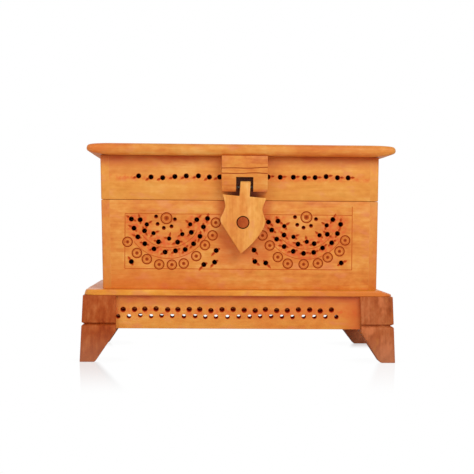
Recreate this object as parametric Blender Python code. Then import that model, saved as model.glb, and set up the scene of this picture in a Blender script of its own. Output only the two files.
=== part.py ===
"""A wooden jewelry box on a footed stand, with a hinged lid and a swinging wooden hasp.

Lengths are in metres. X runs along the front from left to right, Y from the front to the
back and Z up. The origin is on the floor, under the middle of the box.
"""

import math

import bmesh
import bpy
from mathutils import Matrix, Vector

# Gap between neighbouring pieces, and how far a cutter runs past a face
fit_gap = 0.0003
cut_overrun = 0.002

# Walls of the case, and rails of the lid above them. The end walls lean in toward the stand,
# and the length is across the top of the rails.
case_length = 0.184
case_depth = 0.116
wall_height = 0.0586
rail_height = 0.0289
wall_lean_degrees = 1.0
side_thickness = 0.0055
front_thickness = 0.006
back_thickness = 0.006
edge_radius = 0.0006

# How far right of the stand's middle the case stands, and the lid board right of the case's
case_shift = 0.0008
lid_shift = 0.0007

# Lid board, with its overhang past the walls at the ends and at the front and back
lid_end_overhang = 0.010
lid_front_overhang = 0.008
lid_thickness = 0.0076
lid_corner_radius = 0.005
lid_nose_radius = 0.0032

# Base board of the stand, with its overhang past the walls
board_end_overhang = 0.0099
board_front_overhang = 0.008
board_thickness = 0.0038
board_corner_radius = 0.008
board_nose_radius = 0.0011

# Feet, each a square post that leans out a little and narrows inward to a toe
foot_height = 0.0432
foot_width = 0.0216
foot_toe_width = 0.0099
foot_splay = 0.00165
foot_slant_height = 0.0199
groove_drop = 0.0177
groove_depth = 0.0022
groove_width = 0.0021

# Aprons between the feet
apron_height = 0.0216
apron_thickness = 0.006
apron_recess = 0.003

# Drilled holes
hole_radius = 0.0016
small_hole_radius = 0.00125
hole_sides = 8

# Two rows of holes in the front apron, the lower one staggered by half a step
apron_hole_pitch = 0.0072
apron_row_left_margin = 0.0045
apron_row_right_margin = 0.0185
apron_row_drop = 0.0092
apron_rows_apart = 0.0042

# Row of holes in the lid's front rail, left and right of the latch
rail_row_drop = 0.0135
rail_row_inner = 0.0164
rail_row_margin = 0.0228
rail_row_shift = -0.0004
rail_holes_per_side = 8

# Half-round fans of holes in the front panel, with angles from the fan's left end. The left
# fan is a little larger and sits a little higher than the right one.
fan_spread = 0.0908
fan_shift = -0.0019
fan_drops = {"left": 0.0098, "right": 0.0107}
fan_size_shares = {"left": 1.015, "right": 0.985}
fan_ring_arc_radius = 0.0319
fan_outer_radius = 0.0243
fan_middle_radius = 0.0187
fan_inner_radius = 0.0154
fan_outer_degrees = {
    "left": [7 + 15.4 * step for step in range(12)],
    "right": [6.5 + 16.4 * step for step in range(11)],
}
fan_middle_degrees = {"left": (10, 34, 70, 109, 143, 171), "right": (8, 40, 75, 109, 143, 176)}
fan_inner_degrees = {"left": (24, 51, 92, 126, 157), "right": (23, 59, 94, 129, 160)}
# Small holes round an eye close to the fan's centre
eye_shifts = {"left": (-0.0013, -0.0022), "right": (0.0007, 0.0001)}
eye_radius = 0.0069
eye_degrees = (-4, 38, 75, 120, 171)
# Lone holes near the fan's lower corners, outward and downward, as shares of the ring arc
corner_hole_shares = ((0.75, 0.96), (-0.77, 0.98), (-0.99, 0.95), (-1.02, 0.70))

# Latch block on the lid's front rail, right of the case's middle
latch_shift = 0.0027
block_width = 0.0303
block_height = 0.0233
block_thickness = 0.0075
notch_width = 0.0112
notch_height = 0.0095
block_upper_line_drop = 0.0076
block_lower_line_drop = 0.0113
block_line_width = 0.0010
block_line_depth = 0.0006

# Pin that the hasp swings on
hasp_pin_radius = 0.001
hasp_pin_length = 0.028
hasp_pin_rise = 0.0029
hasp_pin_setback = 0.0026

# Hasp: a tongue round the pin, and a shield below it that hangs a little askew
hasp_shift = 0.0004
hasp_tilt_degrees = 3.4
hasp_behind_pin = 0.0040
hasp_before_pin = 0.0027
tongue_width = 0.0067
shoulder_drop = 0.0054
shoulder_slope_drop = 0.0003
shoulder_half_width = 0.0145
shield_waist_depth = 0.0019
hip_drop = 0.0204
hip_half_width = 0.0148
shield_drop = 0.0430
shield_curve_power = 1.7
shield_curve_steps = 6

# Peg in the front panel, which the hasp's hole drops over
peg_radius = 0.0040
peg_drop = 0.0232
peg_clearance = 0.0007
peg_proud = 0.0004
peg_chamfer = 0.0004

# Two butt hinges on the back, with each one's middle in from the end of the case
hinge_inset = 0.037
leaf_width = 0.024
leaf_reach = 0.012
leaf_thickness = 0.0009
knuckle_radius = 0.0019
middle_knuckle_length = 0.0088
hinge_pin_radius = 0.0008

# Round-headed screws of the hinge leaves
screw_spacing = 0.015
screw_reach = 0.0076
screw_head_radius = 0.0016
screw_head_height = 0.0007
screw_shank_radius = 0.0008
screw_length = 0.0045
screw_point_length = 0.0012

# Outline of both boards, and heights where one layer ends and the next begins
lid_length = case_length + 2 * lid_end_overhang
lid_depth = case_depth + 2 * lid_front_overhang
board_length = case_length + 2 * board_end_overhang
board_depth = case_depth + 2 * board_front_overhang
board_low = foot_height + fit_gap
board_top = board_low + board_thickness
wall_low = board_top + fit_gap
wall_top = wall_low + wall_height
rail_low = wall_top + fit_gap
rail_top = rail_low + rail_height
lid_low = rail_top + fit_gap

# Axis that the lid turns on, and axis that the hasp swings on
hinge_spacing = case_length - 2 * hinge_inset
hinge_place = Vector(
    (case_shift, case_depth / 2 + fit_gap + knuckle_radius, (wall_top + rail_low) / 2)
)
latch_x = case_shift + latch_shift
block_front = case_depth / 2 + fit_gap + block_thickness
hasp_pin_place = Vector(
    (latch_x + hasp_shift, hasp_pin_setback - block_front, rail_top - block_height + hasp_pin_rise)
)


def clear_scene():
    for thing in list(bpy.data.objects):
        bpy.data.objects.remove(thing, do_unlink=True)


def linear(level):
    """A linear colour value from a screen value of 0 to 255."""
    share = level / 255
    if share <= 0.04045:
        return share / 12.92
    return ((share + 0.055) / 1.055) ** 2.4


def principled(name, screen_colour, roughness, metallic):
    material = bpy.data.materials.new(name)
    material.use_nodes = True
    shader = material.node_tree.nodes["Principled BSDF"]
    shader.inputs["Base Color"].default_value = [linear(level) for level in screen_colour] + [1]
    shader.inputs["Roughness"].default_value = roughness
    shader.inputs["Metallic"].default_value = metallic
    return material


def new_empty(name, place, parent=None):
    empty = bpy.data.objects.new(name, None)
    bpy.context.scene.collection.objects.link(empty)
    empty.parent = parent
    empty.location = place - world_place(parent)
    return empty


def world_place(empty):
    """Where an unturned empty stands in the world."""
    if empty is None:
        return Vector((0, 0, 0))
    return empty.location + world_place(empty.parent)


def finish_piece(name, bm, material, place, axis=None):
    """An object with its origin at a place in the world, riding on an axis if one is given."""
    bmesh.ops.recalc_face_normals(bm, faces=bm.faces[:])
    mesh = bpy.data.meshes.new(name)
    bm.to_mesh(mesh)
    bm.free()
    if material is not None:
        mesh.materials.append(material)
    piece = bpy.data.objects.new(name, mesh)
    bpy.context.scene.collection.objects.link(piece)
    piece.parent = axis
    piece.location = Vector(place) - world_place(axis)
    return piece


def finish_cutter(name, bm, place, axis=None):
    cutter = finish_piece(name, bm, None, place, axis)
    cutter.hide_render = True
    cutter.display_type = "WIRE"
    return cutter


def apply_boolean(piece, cutter, operation="DIFFERENCE"):
    modifier = piece.modifiers.new(cutter.name, "BOOLEAN")
    modifier.object = cutter
    modifier.operation = operation
    modifier.solver = "EXACT"


def round_edges(piece, radius, segments):
    modifier = piece.modifiers.new("rounded edges", "BEVEL")
    modifier.width = radius
    modifier.segments = segments
    modifier.limit_method = "ANGLE"
    modifier.angle_limit = math.radians(40)


def smooth_shading(piece):
    piece.data.shade_smooth()
    piece.data.set_sharp_from_angle(angle=math.radians(35))


def add_box(bm, low, high):
    low, high = Vector(low), Vector(high)
    middle = Matrix.Translation((low + high) / 2)
    bmesh.ops.create_cube(bm, size=1, matrix=middle @ Matrix.Diagonal((high - low).to_4d()))


def add_cylinder(bm, centre, radius, length, along, sides):
    """A capped cylinder round a centre, along the X, Y or Z axis."""
    turns = {
        "X": Matrix.Rotation(math.radians(90), 4, "Y"),
        "Y": Matrix.Rotation(math.radians(90), 4, "X"),
        "Z": Matrix.Identity(4),
    }
    bmesh.ops.create_cone(
        bm,
        cap_ends=True,
        segments=sides,
        radius1=radius,
        radius2=radius,
        depth=length,
        matrix=Matrix.Translation(centre) @ turns[along],
    )


def add_prism(bm, points, way):
    """A solid swept from a flat outline along a straight way."""
    corners = [bm.verts.new(point) for point in points]
    face = bm.faces.new(corners)
    swept = bmesh.ops.extrude_face_region(bm, geom=[face])
    moved = [part for part in swept["geom"] if isinstance(part, bmesh.types.BMVert)]
    bmesh.ops.translate(bm, verts=moved, vec=way)


def skin_rings(bm, rings):
    """Faces between each ring of corners and the next one."""
    for upper, lower in zip(rings, rings[1:]):
        for corner, after in zip(range(len(upper)), [*range(1, len(upper)), 0]):
            bm.faces.new((upper[corner], upper[after], lower[after], lower[corner]))


def rounded_rectangle(length, depth, radius, corner_steps=4):
    """Outline of a board seen from above, with quarter circles at its corners."""
    points = []
    for quarter, (sign_x, sign_y) in enumerate(((1, 1), (-1, 1), (-1, -1), (1, -1))):
        centre_x = sign_x * (length / 2 - radius)
        centre_y = sign_y * (depth / 2 - radius)
        for step in range(corner_steps + 1):
            angle = math.radians(90) * (quarter + step / corner_steps)
            x = centre_x + radius * math.cos(angle)
            y = centre_y + radius * math.sin(angle)
            points.append(Vector((x, y, 0)))
    return points


def flat_board(name, length, depth, thickness, corner_radius, nose_radius, material, place, axis=None):
    """A board lying flat, with round corners and round edges all the way round."""
    bm = bmesh.new()
    add_prism(bm, rounded_rectangle(length, depth, corner_radius), Vector((0, 0, thickness)))
    board = finish_piece(name, bm, material, place, axis)
    round_edges(board, nose_radius, 3)
    smooth_shading(board)
    return board


def lean_in(bm, middle):
    """Move a wall's corners toward the case's middle, the more the lower they are."""
    slope = math.tan(math.radians(wall_lean_degrees))
    for corner in bm.verts:
        place = middle + corner.co
        corner.co.x -= math.copysign(slope * (rail_top - place.z), place.x - case_shift)


def upright_board(name, low, high, material, axis=None, leaning=False):
    """A board between two corners, with its origin in its middle."""
    low, high = Vector(low), Vector(high)
    middle = (low + high) / 2
    bm = bmesh.new()
    add_box(bm, low - middle, high - middle)
    if leaning:
        lean_in(bm, middle)
    board = finish_piece(name, bm, material, middle, axis)
    round_edges(board, edge_radius, 1)
    return board


def four_walls(names, low_height, high_height, material, axis=None):
    """Front, back, left and right boards of an open box. The two side boards run its full depth."""
    half_depth = case_depth / 2
    left, right = case_shift - case_length / 2, case_shift + case_length / 2
    left_inside, right_inside = left + side_thickness, right - side_thickness
    panel_left, panel_right = left_inside + fit_gap, right_inside - fit_gap
    spans = (
        ((panel_left, -half_depth), (panel_right, front_thickness - half_depth)),
        ((panel_left, half_depth - back_thickness), (panel_right, half_depth)),
        ((left, -half_depth), (left_inside, half_depth)),
        ((right_inside, -half_depth), (right, half_depth)),
    )
    return [
        upright_board(name, (*low, low_height), (*high, high_height), material, axis, leaning=True)
        for name, (low, high) in zip(names, spans)
    ]


def drill(piece, holes, front, thickness, axis=None):
    """Cut round holes through a board from front to back. A hole is (x, z, radius)."""
    bm = bmesh.new()
    length = thickness + 2 * cut_overrun
    for x, z, radius in holes:
        add_cylinder(bm, (x, front + thickness / 2, z), radius, length, "Y", hole_sides)
    apply_boolean(piece, finish_cutter(piece.name + "_drill", bm, (0, 0, 0), axis))


def arc_places(centre, radius, degrees):
    """Places on a half circle that hangs below its centre, from its left end round to its right."""
    places = []
    for angle in degrees:
        x = centre[0] - radius * math.cos(math.radians(angle))
        z = centre[1] - radius * math.sin(math.radians(angle))
        places.append((x, z))
    return places


def fan_holes(side):
    """Holes of one fan, as (x, z, radius)."""
    outward_sign = -1 if side == "left" else 1
    size = fan_size_shares[side]
    centre_x = case_shift + fan_shift + outward_sign * fan_spread / 2
    centre = (centre_x, wall_top - fan_drops[side])
    eye = (centre[0] + eye_shifts[side][0], centre[1] + eye_shifts[side][1])
    large = arc_places(centre, size * fan_outer_radius, fan_outer_degrees[side])
    large += arc_places(centre, size * fan_middle_radius, fan_middle_degrees[side])
    for outward, downward in corner_hole_shares:
        x = centre[0] + outward_sign * outward * size * fan_ring_arc_radius
        large.append((x, centre[1] - downward * size * fan_ring_arc_radius))
    small = arc_places(centre, size * fan_inner_radius, fan_inner_degrees[side])
    small += arc_places(eye, eye_radius, eye_degrees)
    return [(*place, hole_radius) for place in large] + [(*place, small_hole_radius) for place in small]


def rail_holes():
    outer = case_length / 2 - rail_row_margin
    step = (outer - rail_row_inner) / (rail_holes_per_side - 1)
    holes = []
    for side in (-1, 1):
        for count in range(rail_holes_per_side):
            x = latch_x + rail_row_shift + side * (rail_row_inner + count * step)
            holes.append((x, rail_top - rail_row_drop, hole_radius))
    return holes


def apron_holes(left_end, right_end):
    """As many holes as fit between the margins, and a lower row that starts half a step sooner."""
    upper_height = foot_height - apron_row_drop
    start = left_end + apron_row_left_margin
    steps = int((right_end - apron_row_right_margin - start) / apron_hole_pitch)
    holes = []
    for count in range(steps + 1):
        holes.append((start + count * apron_hole_pitch, upper_height, hole_radius))
    for count in range(steps + 2):
        x = start + (count - 0.5) * apron_hole_pitch
        holes.append((x, upper_height - apron_rows_apart, hole_radius))
    return holes


def make_case(wood, dark_wood):
    names = ("front_panel", "back_panel", "left_side_panel", "right_side_panel")
    front, back, _, _ = four_walls(names, wall_low, wall_top, wood)
    drill(front, fan_holes("left") + fan_holes("right"), -case_depth / 2, front_thickness)
    make_peg(front, dark_wood)
    return back


def make_peg(front_panel, dark_wood):
    """A round stud through the front panel, flush inside and just proud of the hasp outside."""
    tilt = math.radians(hasp_tilt_degrees)
    x = hasp_pin_place.x - peg_drop * math.sin(tilt)
    z = hasp_pin_place.z - peg_drop * math.cos(tilt)
    inner_end = front_thickness - case_depth / 2
    outer_end = hasp_pin_place.y - hasp_before_pin - peg_proud
    middle = Vector((x, (inner_end + outer_end) / 2, z))
    length = inner_end - outer_end
    bm = bmesh.new()
    add_cylinder(bm, (0, 0, 0), peg_radius, length, "Y", 20)
    peg = finish_piece("latch_peg", bm, dark_wood, middle)
    round_edges(peg, peg_chamfer, 1)
    smooth_shading(peg)
    bm = bmesh.new()
    add_cylinder(bm, (0, 0, 0), peg_radius + fit_gap, length + 2 * cut_overrun, "Y", 20)
    apply_boolean(front_panel, finish_cutter("peg_hole", bm, middle))


def make_foot(name, side_x, side_y, dark_wood):
    """A foot whose two outer faces lean out and are grooved, and whose inner faces narrow to a toe."""
    toe_inset = foot_width - foot_toe_width
    groove_height = foot_height - groove_drop
    # Height, how far the outer faces are cut in, and how far the inner faces have narrowed
    levels = (
        (foot_height, 0, 0),
        (groove_height + groove_width / 2, 0, 0),
        (groove_height, groove_depth, 0),
        (groove_height - groove_width / 2, 0, 0),
        (foot_slant_height, 0, 0),
        (0, 0, toe_inset + foot_splay),
    )
    bm = bmesh.new()
    rings = []
    for height, cut, narrowed in levels:
        splay = foot_splay * (1 - height / foot_height)
        ring = []
        for reach_x, reach_y in ((1, 1), (0, 1), (0, 0), (1, 0)):
            x = board_length / 2 + splay - cut if reach_x else board_length / 2 - foot_width + narrowed
            y = board_depth / 2 + splay - cut if reach_y else board_depth / 2 - foot_width + narrowed
            ring.append(bm.verts.new((side_x * x, side_y * y, height)))
        rings.append(ring)
    skin_rings(bm, rings)
    bm.faces.new(rings[0])
    bm.faces.new(rings[-1])
    middle = Vector((side_x * (board_length - foot_width) / 2, side_y * (board_depth - foot_width) / 2, 0))
    bmesh.ops.translate(bm, verts=bm.verts[:], vec=-middle)
    return finish_piece(name, bm, dark_wood, middle)


def make_stand(wood, dark_wood):
    flat_board(
        "base_board",
        board_length,
        board_depth,
        board_thickness,
        board_corner_radius,
        board_nose_radius,
        wood,
        (0, 0, board_low),
    )
    for side_y, row in ((-1, "front"), (1, "back")):
        for side_x, end in ((-1, "left"), (1, "right")):
            make_foot(f"{row}_{end}_foot", side_x, side_y, dark_wood)
    low, high = foot_height - apron_height, foot_height
    outer_x = board_length / 2 - apron_recess
    inner_x = outer_x - apron_thickness
    outer_y = board_depth / 2 - apron_recess
    inner_y = outer_y - apron_thickness
    end_x = board_length / 2 - foot_width - fit_gap
    end_y = board_depth / 2 - foot_width - fit_gap
    front = upright_board("front_apron", (-end_x, -outer_y, low), (end_x, -inner_y, high), wood)
    upright_board("back_apron", (-end_x, inner_y, low), (end_x, outer_y, high), wood)
    upright_board("left_apron", (-outer_x, -end_y, low), (-inner_x, end_y, high), wood)
    upright_board("right_apron", (inner_x, -end_y, low), (outer_x, end_y, high), wood)
    drill(front, apron_holes(-end_x, end_x), -outer_y, apron_thickness)


def make_lid(wood, lid_axis):
    flat_board(
        "lid_board",
        lid_length,
        lid_depth,
        lid_thickness,
        lid_corner_radius,
        lid_nose_radius,
        wood,
        (case_shift + lid_shift, 0, lid_low),
        lid_axis,
    )
    names = ("lid_front_rail", "lid_back_rail", "lid_left_rail", "lid_right_rail")
    front, back, _, _ = four_walls(names, rail_low, rail_top, wood, lid_axis)
    drill(front, rail_holes(), -case_depth / 2, front_thickness, lid_axis)
    return back


def block_profile():
    """Side view of the latch block, from its back face round by the bottom, with two V cuts in front."""
    back = hasp_pin_place.y - hasp_pin_setback + block_thickness
    front = back - block_thickness
    bottom = rail_top - block_height
    outline = [(back, rail_top), (back, bottom), (front, bottom)]
    for drop in (block_lower_line_drop, block_upper_line_drop):
        line = rail_top - drop
        outline.append((front, line - block_line_width / 2))
        outline.append((front + block_line_depth, line))
        outline.append((front, line + block_line_width / 2))
    outline.append((front, rail_top))
    return [Vector((0, y, z)) for y, z in outline]


def make_latch_block(wood, steel, lid_axis):
    left = Vector((latch_x - block_width / 2, 0, 0))
    middle = Vector((latch_x, block_thickness / 2 - block_front, rail_top - block_height / 2))
    bm = bmesh.new()
    add_prism(bm, [left + point - middle for point in block_profile()], Vector((block_width, 0, 0)))
    block = finish_piece("latch_block", bm, wood, middle, lid_axis)
    bottom = rail_top - block_height
    bm = bmesh.new()
    add_box(
        bm,
        (latch_x - notch_width / 2, -block_front - cut_overrun, bottom - cut_overrun),
        (latch_x + notch_width / 2, cut_overrun - case_depth / 2, bottom + notch_height),
    )
    apply_boolean(block, finish_cutter("latch_notch", bm, (0, 0, 0), lid_axis))
    pin_place = Vector((latch_x, hasp_pin_place.y, hasp_pin_place.z))
    bm = bmesh.new()
    bore_length = block_width + 2 * cut_overrun
    add_cylinder(bm, (0, 0, 0), hasp_pin_radius + fit_gap, bore_length, "X", 12)
    apply_boolean(block, finish_cutter("latch_block_bore", bm, pin_place, lid_axis))
    bm = bmesh.new()
    add_cylinder(bm, (0, 0, 0), hasp_pin_radius, hasp_pin_length, "X", 12)
    pin = finish_piece("hasp_pin", bm, steel, pin_place, lid_axis)
    smooth_shading(pin)


def shield_outline():
    """Front view of the hasp round its pin, before it is tilted: tongue, shoulders, hips and point."""
    tongue_half = tongue_width / 2
    tongue_end = max(hasp_behind_pin, hasp_before_pin) + cut_overrun
    sides = []
    for side in (1, -1):
        shoulder_end = shoulder_drop + side * shoulder_slope_drop
        points = [(side * tongue_half, tongue_end), (side * tongue_half, -shoulder_drop)]
        for step in range(shield_curve_steps + 1):
            share = step / shield_curve_steps
            straight = shoulder_half_width + share * (hip_half_width - shoulder_half_width)
            x = straight - shield_waist_depth * math.sin(math.pi * share)
            points.append((side * x, -shoulder_end - share * (hip_drop - shoulder_end)))
        for step in range(1, shield_curve_steps):
            share = step / shield_curve_steps
            x = hip_half_width * (1 - share**shield_curve_power)
            points.append((side * x, -hip_drop - share * (shield_drop - hip_drop)))
        sides.append(points)
    right, left = sides
    return right + [(0, -shield_drop)] + left[::-1]


def hasp_profile():
    """Side view of the hasp round its pin: flat faces, and a top rounded about the pin."""
    swing_radius = max(hasp_behind_pin, hasp_before_pin)
    first = math.acos(hasp_behind_pin / swing_radius)
    last = math.pi - math.acos(hasp_before_pin / swing_radius)
    outline = [(hasp_behind_pin, -shield_drop - cut_overrun)]
    steps = 8
    for step in range(steps + 1):
        angle = first + (last - first) * step / steps
        outline.append((swing_radius * math.cos(angle), swing_radius * math.sin(angle)))
    outline.append((-hasp_before_pin, -shield_drop - cut_overrun))
    return [Vector((0, y, z)) for y, z in outline]


def make_hasp(wood, hasp_axis):
    tilt = Matrix.Rotation(math.radians(hasp_tilt_degrees), 4, "Y")
    front = -hasp_before_pin - cut_overrun
    thickness = hasp_before_pin + hasp_behind_pin + 2 * cut_overrun
    bm = bmesh.new()
    points = [tilt @ Vector((x, front, z)) for x, z in shield_outline()]
    add_prism(bm, points, Vector((0, thickness, 0)))
    hasp = finish_piece("hasp", bm, wood, hasp_pin_place, hasp_axis)
    left, right = Vector((-shield_drop, 0, 0)), Vector((shield_drop, 0, 0))
    bm = bmesh.new()
    add_prism(bm, [left + point for point in hasp_profile()], right - left)
    apply_boolean(hasp, finish_cutter("hasp_thickness", bm, hasp_pin_place, hasp_axis), "INTERSECT")
    bm = bmesh.new()
    add_cylinder(bm, tilt @ Vector((0, 0, -peg_drop)), peg_radius + peg_clearance, 2 * thickness, "Y", 20)
    apply_boolean(hasp, finish_cutter("hasp_peg_hole", bm, hasp_pin_place, hasp_axis))
    bm = bmesh.new()
    add_cylinder(bm, (0, 0, 0), hasp_pin_radius + fit_gap, 2 * tongue_width, "X", 12)
    apply_boolean(hasp, finish_cutter("hasp_bore", bm, hasp_pin_place, hasp_axis))
    smooth_shading(hasp)


def knuckle_outline(up):
    """End view of one knuckle with the strip that joins it to its leaf: up is 1 or -1."""
    flat = leaf_thickness - knuckle_radius
    strip_end = up * leaf_reach / 2
    outline = [(flat, strip_end), (-knuckle_radius, strip_end)]
    steps = 12
    meeting = math.acos(-flat / knuckle_radius)
    for step in range(steps + 1):
        angle = math.pi + up * (2 * math.pi - meeting) * step / steps
        outline.append((knuckle_radius * math.cos(angle), knuckle_radius * math.sin(angle)))
    return outline


def make_leaf(name, x, up, brass, axis=None):
    """A hinge leaf with its knuckles: up is 1 for the lid's leaf and -1 for the case's."""
    half_width = leaf_width / 2
    half_middle = middle_knuckle_length / 2
    flat = leaf_thickness - knuckle_radius
    near, far = up * (knuckle_radius + fit_gap), up * leaf_reach
    bm = bmesh.new()
    add_box(bm, (-half_width, -knuckle_radius, min(near, far)), (half_width, flat, max(near, far)))
    place = hinge_place + Vector((x, 0, 0))
    leaf = finish_piece(name, bm, brass, place, axis)
    if up > 0:
        spans = [(-half_middle, half_middle)]
    else:
        spans = [(-half_width, -half_middle - fit_gap), (half_middle + fit_gap, half_width)]
    bm = bmesh.new()
    for start, end in spans:
        points = [Vector((start, y, z)) for y, z in knuckle_outline(up)]
        add_prism(bm, points, Vector((end - start, 0, 0)))
    apply_boolean(leaf, finish_cutter(name + "_knuckles", bm, place, axis), "UNION")
    bm = bmesh.new()
    add_cylinder(bm, (0, 0, 0), hinge_pin_radius + fit_gap, leaf_width + 2 * cut_overrun, "X", 12)
    for side in (-1, 1):
        centre = (side * screw_spacing / 2, 0, up * screw_reach)
        add_cylinder(bm, centre, screw_shank_radius + fit_gap, 2 * knuckle_radius + cut_overrun, "Y", 10)
    apply_boolean(leaf, finish_cutter(name + "_bores", bm, place, axis))
    smooth_shading(leaf)


def add_screw(bm):
    """A round-headed screw turned about Y, with its head to the back and its point to the front."""
    head_steps = 3
    profile = []
    for step in range(head_steps + 1):
        angle = math.radians(90) * (1 - step / head_steps)
        profile.append((screw_head_radius * math.cos(angle), screw_head_height * math.sin(angle)))
    profile.append((screw_shank_radius, 0))
    profile.append((screw_shank_radius, screw_point_length - screw_length))
    profile.append((0, -screw_length))
    sides = 10
    rings = []
    for radius, y in profile:
        ring = []
        for side in range(sides if radius > screw_shank_radius / 100 else 1):
            angle = 2 * math.pi * side / sides
            ring.append(bm.verts.new((radius * math.cos(angle), y, radius * math.sin(angle))))
        rings.append(ring)
    for first, second in zip(rings, rings[1:]):
        for side in range(sides):
            after = (side + 1) % sides
            corners = [first[side % len(first)], first[after % len(first)]]
            corners += [second[after % len(second)], second[side % len(second)]]
            bm.faces.new(list(dict.fromkeys(corners)))


def make_hinges(brass, back_panel, back_rail, lid_axis):
    """Both hinges, with the screws of each leaf and the holes that the screws sit in."""
    for x, end in ((-hinge_spacing / 2, "left"), (hinge_spacing / 2, "right")):
        make_leaf(f"{end}_hinge_case_leaf", x, -1, brass)
        make_leaf(f"{end}_hinge_lid_leaf", x, 1, brass, lid_axis)
        bm = bmesh.new()
        add_cylinder(bm, (0, 0, 0), hinge_pin_radius, leaf_width, "X", 12)
        pin = finish_piece(f"{end}_hinge_pin", bm, brass, hinge_place + Vector((x, 0, 0)))
        smooth_shading(pin)
    under_head = case_depth / 2 + leaf_thickness + 2 * fit_gap
    for up, body, wall, axis in ((-1, "case", back_panel, None), (1, "lid", back_rail, lid_axis)):
        cuts = bmesh.new()
        depth = screw_length + fit_gap
        for hinge_side, hinge_end in ((-1, "left"), (1, "right")):
            for screw_side, screw_end in ((-1, "left"), (1, "right")):
                x = hinge_side * hinge_spacing / 2 + screw_side * screw_spacing / 2
                place = Vector((hinge_place.x + x, under_head, hinge_place.z + up * screw_reach))
                bm = bmesh.new()
                add_screw(bm)
                name = f"{hinge_end}_hinge_{body}_{screw_end}_screw"
                smooth_shading(finish_piece(name, bm, brass, place, axis))
                centre = place - Vector((0, depth / 2, 0))
                add_cylinder(cuts, centre, screw_shank_radius + fit_gap, depth, "Y", 10)
        apply_boolean(wall, finish_cutter(f"{body}_screw_drill", cuts, (0, 0, 0), axis))


def build():
    clear_scene()
    wood = principled("honey_wood", (225, 141, 67), 0.45, 0)
    dark_wood = principled("dark_wood", (168, 84, 45), 0.45, 0)
    brass = principled("brass", (190, 155, 85), 0.35, 1)
    steel = principled("steel", (150, 145, 140), 0.4, 1)
    lid_axis = new_empty("lid_hinge_axis", hinge_place)
    hasp_axis = new_empty("hasp_pin_axis", hasp_pin_place, lid_axis)
    back_panel = make_case(wood, dark_wood)
    make_stand(wood, dark_wood)
    back_rail = make_lid(wood, lid_axis)
    make_latch_block(wood, steel, lid_axis)
    make_hasp(wood, hasp_axis)
    make_hinges(brass, back_panel, back_rail, lid_axis)


build()
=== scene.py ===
"""Looks of a wooden jewelry box on a footed stand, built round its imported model.

Lengths are in metres. X runs along the front from left to right, Y from the front to the
back and Z up, as in the model.
"""

import math
import random

import bmesh
import bpy
from mathutils import Matrix, Vector


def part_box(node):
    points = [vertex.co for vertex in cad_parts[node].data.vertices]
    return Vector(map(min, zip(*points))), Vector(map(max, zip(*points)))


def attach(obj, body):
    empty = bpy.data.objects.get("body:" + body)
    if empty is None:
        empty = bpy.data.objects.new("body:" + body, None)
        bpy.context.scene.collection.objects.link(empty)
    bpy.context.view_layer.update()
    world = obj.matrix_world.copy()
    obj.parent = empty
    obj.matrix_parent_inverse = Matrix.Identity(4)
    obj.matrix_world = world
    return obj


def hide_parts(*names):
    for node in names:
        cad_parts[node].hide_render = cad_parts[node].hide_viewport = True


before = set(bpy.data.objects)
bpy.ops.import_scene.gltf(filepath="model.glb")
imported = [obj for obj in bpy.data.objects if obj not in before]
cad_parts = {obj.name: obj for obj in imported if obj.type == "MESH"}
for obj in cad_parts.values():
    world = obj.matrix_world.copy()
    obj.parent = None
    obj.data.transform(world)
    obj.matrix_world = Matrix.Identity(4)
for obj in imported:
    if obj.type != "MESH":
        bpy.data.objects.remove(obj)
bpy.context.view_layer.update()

# Camera, as a place, its yaw, pitch and roll in degrees, and a focal length in picture pixels
picture_size = 474
camera_place = Vector((-0.02771, -0.83997, 0.0924))
camera_turns = (1.954, 0.750, 0.455)
focal_pixels = 1180.4
sensor_width = 36

# Lamps, each with its place, width and power, the point they face, and the strength of the world
lamps = {"key": ((0.55, -1.0, 0.85), 0.7, 7.2), "fill": ((-0.8, -1.0, 0.55), 0.8, 3.9)}
lamp_aim = Vector((0, 0, 0.08))
world_strength = 0.45

# Floor, the shadow round each foot, and how far and how strongly it mirrors each foot
floor_half_size = 6
floor_drop = 0.00005
foot_shade_span = (0.024, 0.010)
foot_shade = 0.03
foot_shines = {
    "front_left_foot": (0.150, 0.26),
    "front_right_foot": (0.150, 0.12),
    "back_left_foot": (0.040, 0.12),
    "back_right_foot": (0.040, 0.40),
}
shine_front_fade = 0.001
shine_inner_fade = (-0.004, 0.001)
shine_outer_fade = (0.006, 0.002)
shine_spread = 0.2

# How far a cutter runs past a face, and the hairlines left where boards meet
cut_overrun = 0.002
groove_overrun = 0.0003
glue_line = 0.00002
parting_line = 0.0002
lid_gap = 0.0003

# Signs of the ways outward along X
outward_signs = {"left": -1, "right": 1}

# Walls and rails, whose end boards lean in toward the stand, each a little differently
wall_lean_degrees = {"left": 1.55, "right": 0.6}
wall_top_shifts = {"left": -0.0006, "right": 0.0003}
side_thickness = 0.0055
outer_edge_radius = 0.0011
soft_edge_radius = 0.00045

# Boards with no carving, each with the seed of its grain
plain_boards = {
    "back_panel": 41,
    "left_side_panel": 43,
    "right_side_panel": 47,
    "lid_back_rail": 53,
    "lid_left_rail": 59,
    "lid_right_rail": 61,
    "back_apron": 67,
    "left_apron": 71,
    "right_apron": 73,
}

# Drilled holes
hole_radius = 0.0016
inner_hole_radius = 0.0014
eye_hole_radius = 0.0012
eye_drill_rise = 0.0024
hole_sides = 20
countersink = 0.0002

# Two rows of holes in the front apron, the lower one staggered by half a step
apron_end_reach = 0.0010
apron_hole_pitch = 0.0072
apron_row_left_margin = 0.0045
apron_row_right_margin = 0.0185
apron_row_drop = 0.0092
apron_rows_apart = 0.0042
apron_hole_radii = {"upper": 0.0017, "lower": 0.0014}
apron_drill_rises = {"upper": 0.0016, "lower": 0.0011}
apron_hole_stray = 0.0005

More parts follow.
